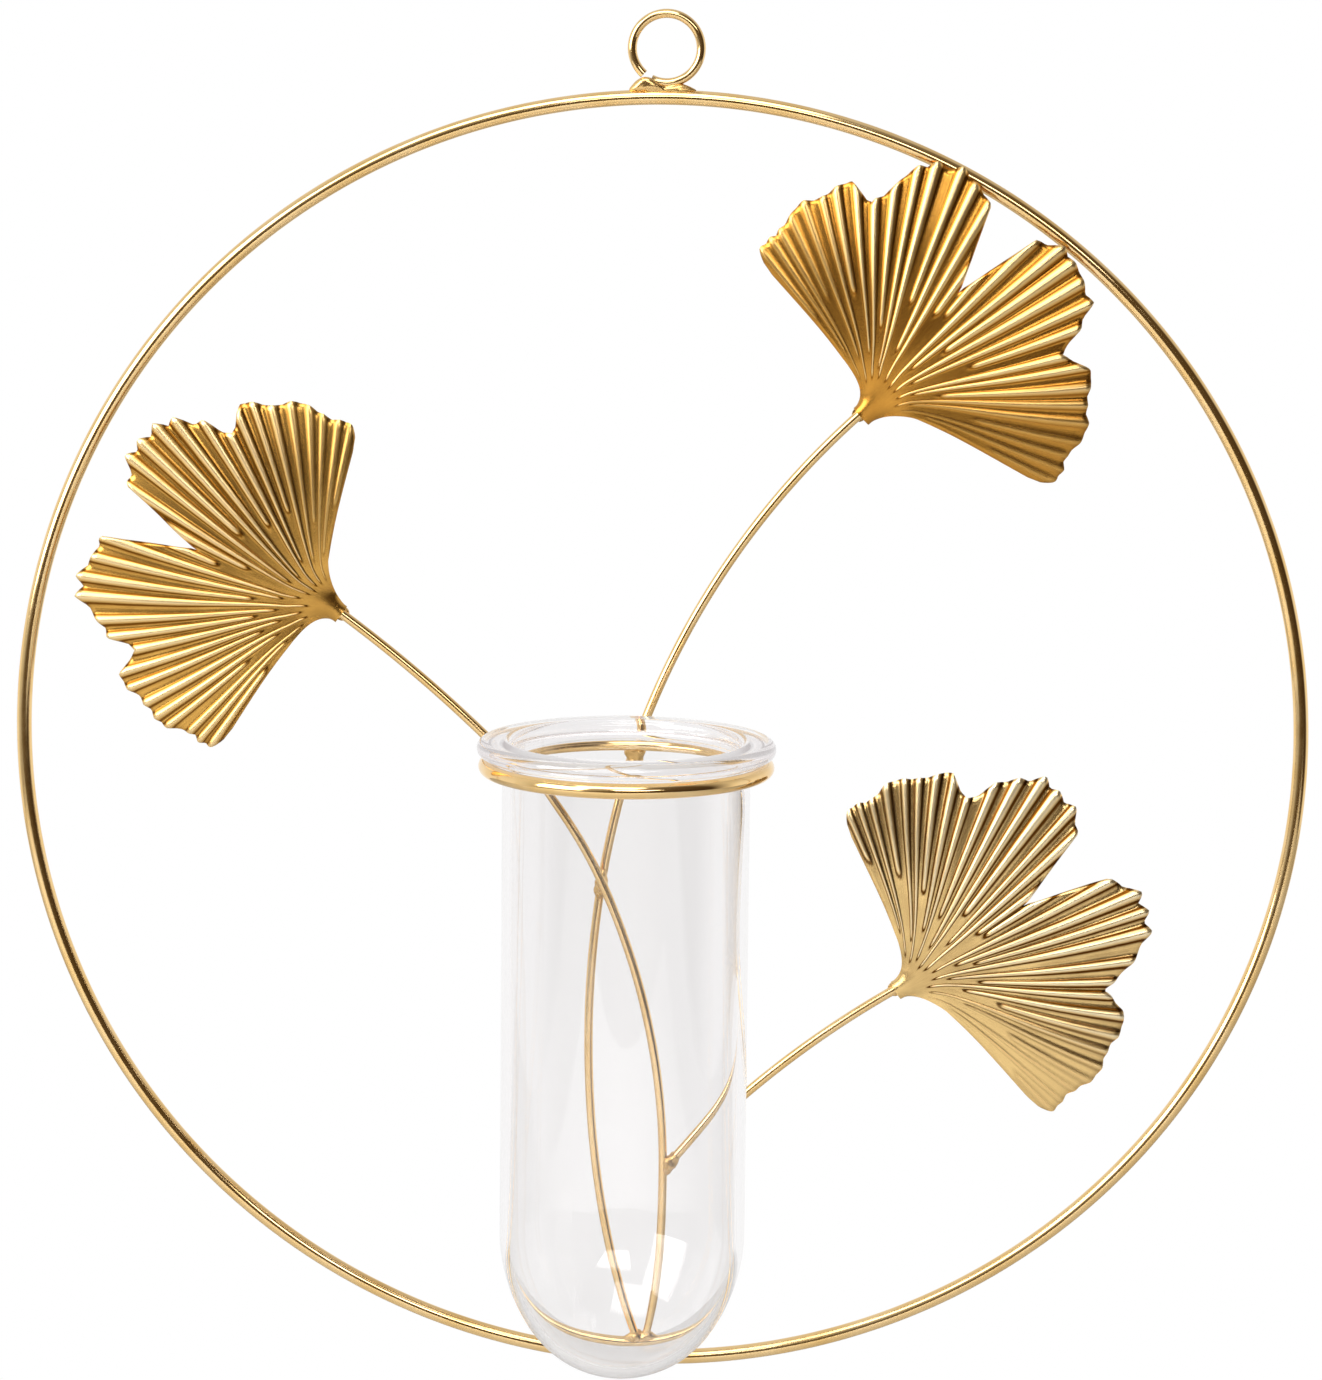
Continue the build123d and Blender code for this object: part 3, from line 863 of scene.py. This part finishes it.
def write_layers(mesh, blade):
    """Rib profile and plainness of each point, and the leaf's own grid as a UV map."""
    for name, values in (("rib", blade.rib), ("plain", blade.plain)):
        both_faces = np.tile(np.clip(values, 0, 1).ravel(), 2).astype(np.float32)
        mesh.attributes.new(name, "FLOAT", "POINT").data.foreach_set("value", both_faces)
    grid = np.stack((blade.wide.ravel(), blade.share.ravel()), axis=-1)
    grid = np.tile(grid, (2, 1)).astype(np.float32)
    layer = mesh.uv_layers.new(name="leaf")
    corners = np.empty(len(mesh.loops), dtype=np.int32)
    mesh.loops.foreach_get("vertex_index", corners)
    layer.data.foreach_set("uv", grid[corners].ravel())


def build_leaf(which, axis, neck_axis, halves):
    """One pressed leaf on its stem's end.

    The axes of the leaf and of its neck are headings in degrees on the stem's plane.
    """
    stem = STEMS[which]
    base = np.array(from_plane(stem.stops[-1:], stem.lean)[0])
    blade = whole_blade(halves, math.radians(neck_axis - axis))
    points = ((sheet_points(blade) @ leaf_turn(stem.lean, axis) + base) * MM).tolist()
    faces = sheet_faces(*blade.rib.shape)
    name = f"pressed_leaf_{which}"
    mesh = add_piece(name, f"leaf_{which}", "frame", leaf_lit_and_shaded[which], points, faces)
    mesh.set_sharp_from_angle(angle=LEAF_SHARP)
    write_layers(mesh, blade)


# The half on the left of the stem comes first
build_leaf("upper", axis=52.6, neck_axis=42.48, halves=(
    Half(seed=11, wider=0.0, longer=0.0, plainer=0.6, neck=1.7),
    Half(seed=12, wider=1.4, longer=3.0, plainer=0.85, neck=2.9),
))
build_leaf("left", axis=155.7, neck_axis=143.9, halves=(
    Half(seed=21, wider=2.0, longer=-1.0, plainer=0.1, neck=2.2),
    Half(seed=22, wider=0.0, longer=0.0, plainer=0.5, neck=1.8),
))
build_leaf("lower", axis=36.4, neck_axis=31.1, halves=(
    Half(seed=31, wider=0.0, longer=0.0, plainer=0.1, neck=1.7),
    Half(seed=32, wider=5.0, longer=2.0, plainer=0.8, neck=2.4),
))

# Glass tube: one smooth turned wall, from the tip outside over the rolled lip to the tip inside
TUBE_RADIUS = 28.0
TUBE_WALL = 2.0
TUBE_FLOOR = 2.2
TUBE_DOME = 34.0
DOME_ROUND = 25.0
LIP_ROLL = 4.0
LIP_FLARE = 3.65
LIP_OUT = 3.78
MOUTH_ROUND = 1.8
TUBE_TURNS = 192
# Points on the dome's bottom and side, the flare, the roll and the mouth
BOTTOM_POINTS = 28
SIDE_POINTS = 20
FLARE_POINTS = 14
ROLL_POINTS = 22
MOUTH_POINTS = 14


def turn_arc(centre, radius, start, end, count):
    """Points on an arc of the profile, angles in degrees."""
    angles = np.radians(np.linspace(start, end, count))
    return [(centre[0] + radius * math.cos(a), centre[1] + radius * math.sin(a)) for a in angles]


def dome_points(radius, height, bottom, tip):
    """Half a dome from its tip to the wall: a round bottom that runs into a wider side arc."""
    top = tip + height
    drop = height - bottom
    side = (radius**2 + drop**2 - bottom**2) / (2 * (radius - bottom))
    lean = math.degrees(math.atan2(drop, side - radius))
    low = turn_arc((0.0, tip + bottom), bottom, -90.0, -lean, BOTTOM_POINTS)
    return low + turn_arc((radius - side, top), side, -lean, 0.0, SIDE_POINTS)[1:]


def tube_profile(length):
    """Radius and height of the wall, the lip's top at 0."""
    inner = TUBE_RADIUS - TUBE_WALL
    flat = TUBE_RADIUS + LIP_FLARE
    roll = TUBE_RADIUS + LIP_OUT
    low = -LIP_ROLL
    floor = TUBE_FLOOR - length
    outside = dome_points(TUBE_RADIUS, TUBE_DOME, DOME_ROUND, -length)
    inside = dome_points(inner, TUBE_DOME - TUBE_FLOOR, DOME_ROUND - TUBE_WALL, floor)
    points = outside + turn_arc((flat, low - LIP_FLARE), LIP_FLARE, 180.0, 90.0, FLARE_POINTS)
    points += turn_arc((roll, low / 2), LIP_ROLL / 2, -90.0, 90.0, ROLL_POINTS)
    points += turn_arc((inner + MOUTH_ROUND, -MOUTH_ROUND), MOUTH_ROUND, 90.0, 180.0, MOUTH_POINTS)
    return points + inside[::-1]


def build_tube():
    """The wall turned about the tube's axis, with a fan of triangles at each tip."""
    low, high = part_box("glass_tube")
    axis = (low[0] + high[0]) / 2, (low[1] + high[1]) / 2
    profile = tube_profile((high[2] - low[2]) / MM)
    rings = profile[1:-1]
    spin = np.linspace(0, FULL_TURN, TUBE_TURNS, endpoint=False)
    points = [
        (axis[0] + r * MM * math.cos(a), axis[1] + r * MM * math.sin(a), high[2] + z * MM)
        for r, z in rings for a in spin
    ]
    faces = ring_faces(len(rings), TUBE_TURNS)
    last = (len(rings) - 1) * TUBE_TURNS
    tips = len(points), len(points) + 1
    points += [(*axis, high[2] + profile[0][1] * MM), (*axis, high[2] + profile[-1][1] * MM)]
    for j in range(TUBE_TURNS):
        i = (j + 1) % TUBE_TURNS
        faces.append((i, j, tips[0]))
        faces.append((last + j, last + i, tips[1]))
    add_piece("blown_tube", "glass_tube", "tube", tube_glass, points, faces)


build_tube()

# Stage: pale floor below, white backdrop behind, a darker room in front
FLOOR_SIDE = 1.5
FLOOR_FRONT = -1.95
FLOOR_BACK = 0.85
FLOOR_LEVEL = -0.62
FLOOR_DRIFT = 3.0
FLOOR_TINTS = ((0.62, 0.62, 0.62), (0.65, 0.65, 0.64))
FLOOR_ROUGH = 0.8
FLOOR_GLOW = 0.28
# The room's colours, from its dim side to the side the light comes from
LIGHT_SIDE = (-0.75, 0.0, 0.66)
ROOM_STOPS = (
    (0.2, (0.065, 0.043, 0.022)),
    (0.5, (0.115, 0.083, 0.045)),
    (0.62, (0.19, 0.165, 0.13)),
    (0.8, (0.65, 0.65, 0.65)),
)
# Directions where the backdrop begins, for reflections and through glass, and where it dims upwards
BACKDROP_EDGE = (-0.3, 0.1)
BACKDROP_GLASS_EDGE = (-0.3, 0.4)
BACKDROP_RISE = (0.1, 0.8)
BACKDROP_DIM = (1.0, 0.5)
# A ray that has not been reflected has a glossy depth below this
UNREFLECTED = 0.5


def build_floor():
    """A plain pale floor, lifted towards white where it is seen straight or through glass."""
    corners = [
        (-FLOOR_SIDE, FLOOR_FRONT, FLOOR_LEVEL),
        (FLOOR_SIDE, FLOOR_FRONT, FLOOR_LEVEL),
        (FLOOR_SIDE, FLOOR_BACK, FLOOR_LEVEL),
        (-FLOOR_SIDE, FLOOR_BACK, FLOOR_LEVEL),
    ]
    mesh = bpy.data.meshes.new("floor")
    mesh.from_pydata(corners, [], [(0, 1, 2, 3)])
    floor = bpy.data.objects.new("floor", mesh)
    bpy.context.scene.collection.objects.link(floor)
    material, nodes, surface, place = new_material("floor_paint")
    paint = nodes.noise(place, FLOOR_DRIFT, detail=2.0)
    nodes.feed(surface["Base Color"], nodes.drift(paint, *FLOOR_TINTS))
    nodes.feed(surface["Roughness"], FLOOR_ROUGH)
    rays = nodes.add("ShaderNodeLightPath").outputs
    seen = nodes.math("MAXIMUM", rays["Is Camera Ray"], rays["Is Transmission Ray"])
    nodes.feed(surface["Emission Color"], WHITE)
    nodes.feed(surface["Emission Strength"], nodes.math("MULTIPLY", seen, FLOOR_GLOW))
    mesh.materials.append(material)


def build_world():
    """White backdrop behind, a dim room in front of the wall, lighter to the upper left."""
    world = bpy.data.worlds.new("studio")
    bpy.context.scene.world = world
    world.use_nodes = True
    nodes = Nodes(world.node_tree, "ShaderNodeOutputWorld")
    way = nodes.add("ShaderNodeTexCoord").outputs["Generated"]
    depth = nodes.axis(way, "Y")
    lit = nodes.add("ShaderNodeVectorMath", operation="DOT_PRODUCT")
    nodes.link(way, lit.inputs[0])
    nodes.feed(lit.inputs[1], Vector(LIGHT_SIDE).normalized())
    room = nodes.ramp(nodes.span(lit.outputs["Value"], (-1.0, 1.0), (0.0, 1.0)), ROOM_STOPS)
    # White to the camera, behind the object in reflections, and through the glass unless reflected forward
    rays = nodes.add("ShaderNodeLightPath").outputs
    dim = nodes.span(nodes.axis(way, "Z"), BACKDROP_RISE, BACKDROP_DIM)
    behind = nodes.math("MULTIPLY", nodes.span(depth, BACKDROP_EDGE, (0.0, 1.0)), dim)
    shown = nodes.math("MULTIPLY", behind, rays["Is Glossy Ray"])
    straight = nodes.math("LESS_THAN", rays["Glossy Depth"], UNREFLECTED)
    through = nodes.math("MAXIMUM", straight, nodes.span(depth, BACKDROP_GLASS_EDGE, (0.0, 1.0)))
    through = nodes.math("MULTIPLY", through, rays["Is Transmission Ray"])
    white = nodes.math("MAXIMUM", rays["Is Camera Ray"], nodes.math("MAXIMUM", shown, through))
    background = nodes.add("ShaderNodeBackground")
    nodes.feed(background.inputs["Color"], nodes.mix(white, room, WHITE))
    nodes.link(background.outputs[0], nodes.end.inputs[0])


def softbox(name, place, aim, size, power):
    """A rectangular lamp that faces its aim."""
    light = bpy.data.lights.new(name, "AREA")
    light.shape = "RECTANGLE"
    light.size, light.size_y = size
    light.energy = power
    lamp = bpy.data.objects.new(name, light)
    bpy.context.scene.collection.objects.link(lamp)
    lamp.location = place
    lamp.rotation_mode = "QUATERNION"
    lamp.rotation_quaternion = (Vector(aim) - Vector(place)).to_track_quat("-Z", "Y")


build_floor()
build_world()
CENTRE = (0.0, -0.02, -0.16)
FLOOR_SPOT = (0.3, -1.75, FLOOR_LEVEL)
softbox("key_left", place=(-1.25, -1.05, 0.45), aim=CENTRE, size=(1.2, 1.2), power=24.0)
softbox("key_top", place=(-0.25, -0.95, 1.15), aim=CENTRE, size=(1.2, 0.8), power=12.0)
softbox("front_floor", place=(0.3, -1.75, 0.5), aim=FLOOR_SPOT, size=(1.0, 1.0), power=16.0)

# Camera at the photograph's place, in millimetres; the clip distances are in metres
CAMERA_PLACE = (48.67, -1230.65, 54.34)
CAMERA_RIGHT = (0.9991, 0.04104, 0.01033)
CAMERA_AHEAD = (-0.03883, 0.98603, -0.16198)
CAMERA_SENSOR = 36.0
CAMERA_LENS = 140.53
CAMERA_CLIP = (0.05, 30.0)


def place_camera():
    """Camera with its right and ahead directions squared to each other."""
    camera = bpy.data.objects.new("camera", bpy.data.cameras.new("camera"))
    bpy.context.scene.collection.objects.link(camera)
    camera.data.sensor_width = CAMERA_SENSOR
    camera.data.lens = CAMERA_LENS
    camera.data.clip_start, camera.data.clip_end = CAMERA_CLIP
    ahead = Vector(CAMERA_AHEAD).normalized()
    up = Vector(CAMERA_RIGHT).normalized().cross(ahead).normalized()
    right = ahead.cross(up)
    turn = Matrix((right, up, -ahead)).transposed()
    camera.matrix_world = Matrix.Translation(Vector(CAMERA_PLACE) * MM) @ turn.to_4x4()
    bpy.context.scene.camera = camera


place_camera()
bpy.context.scene.view_settings.view_transform = "Standard"
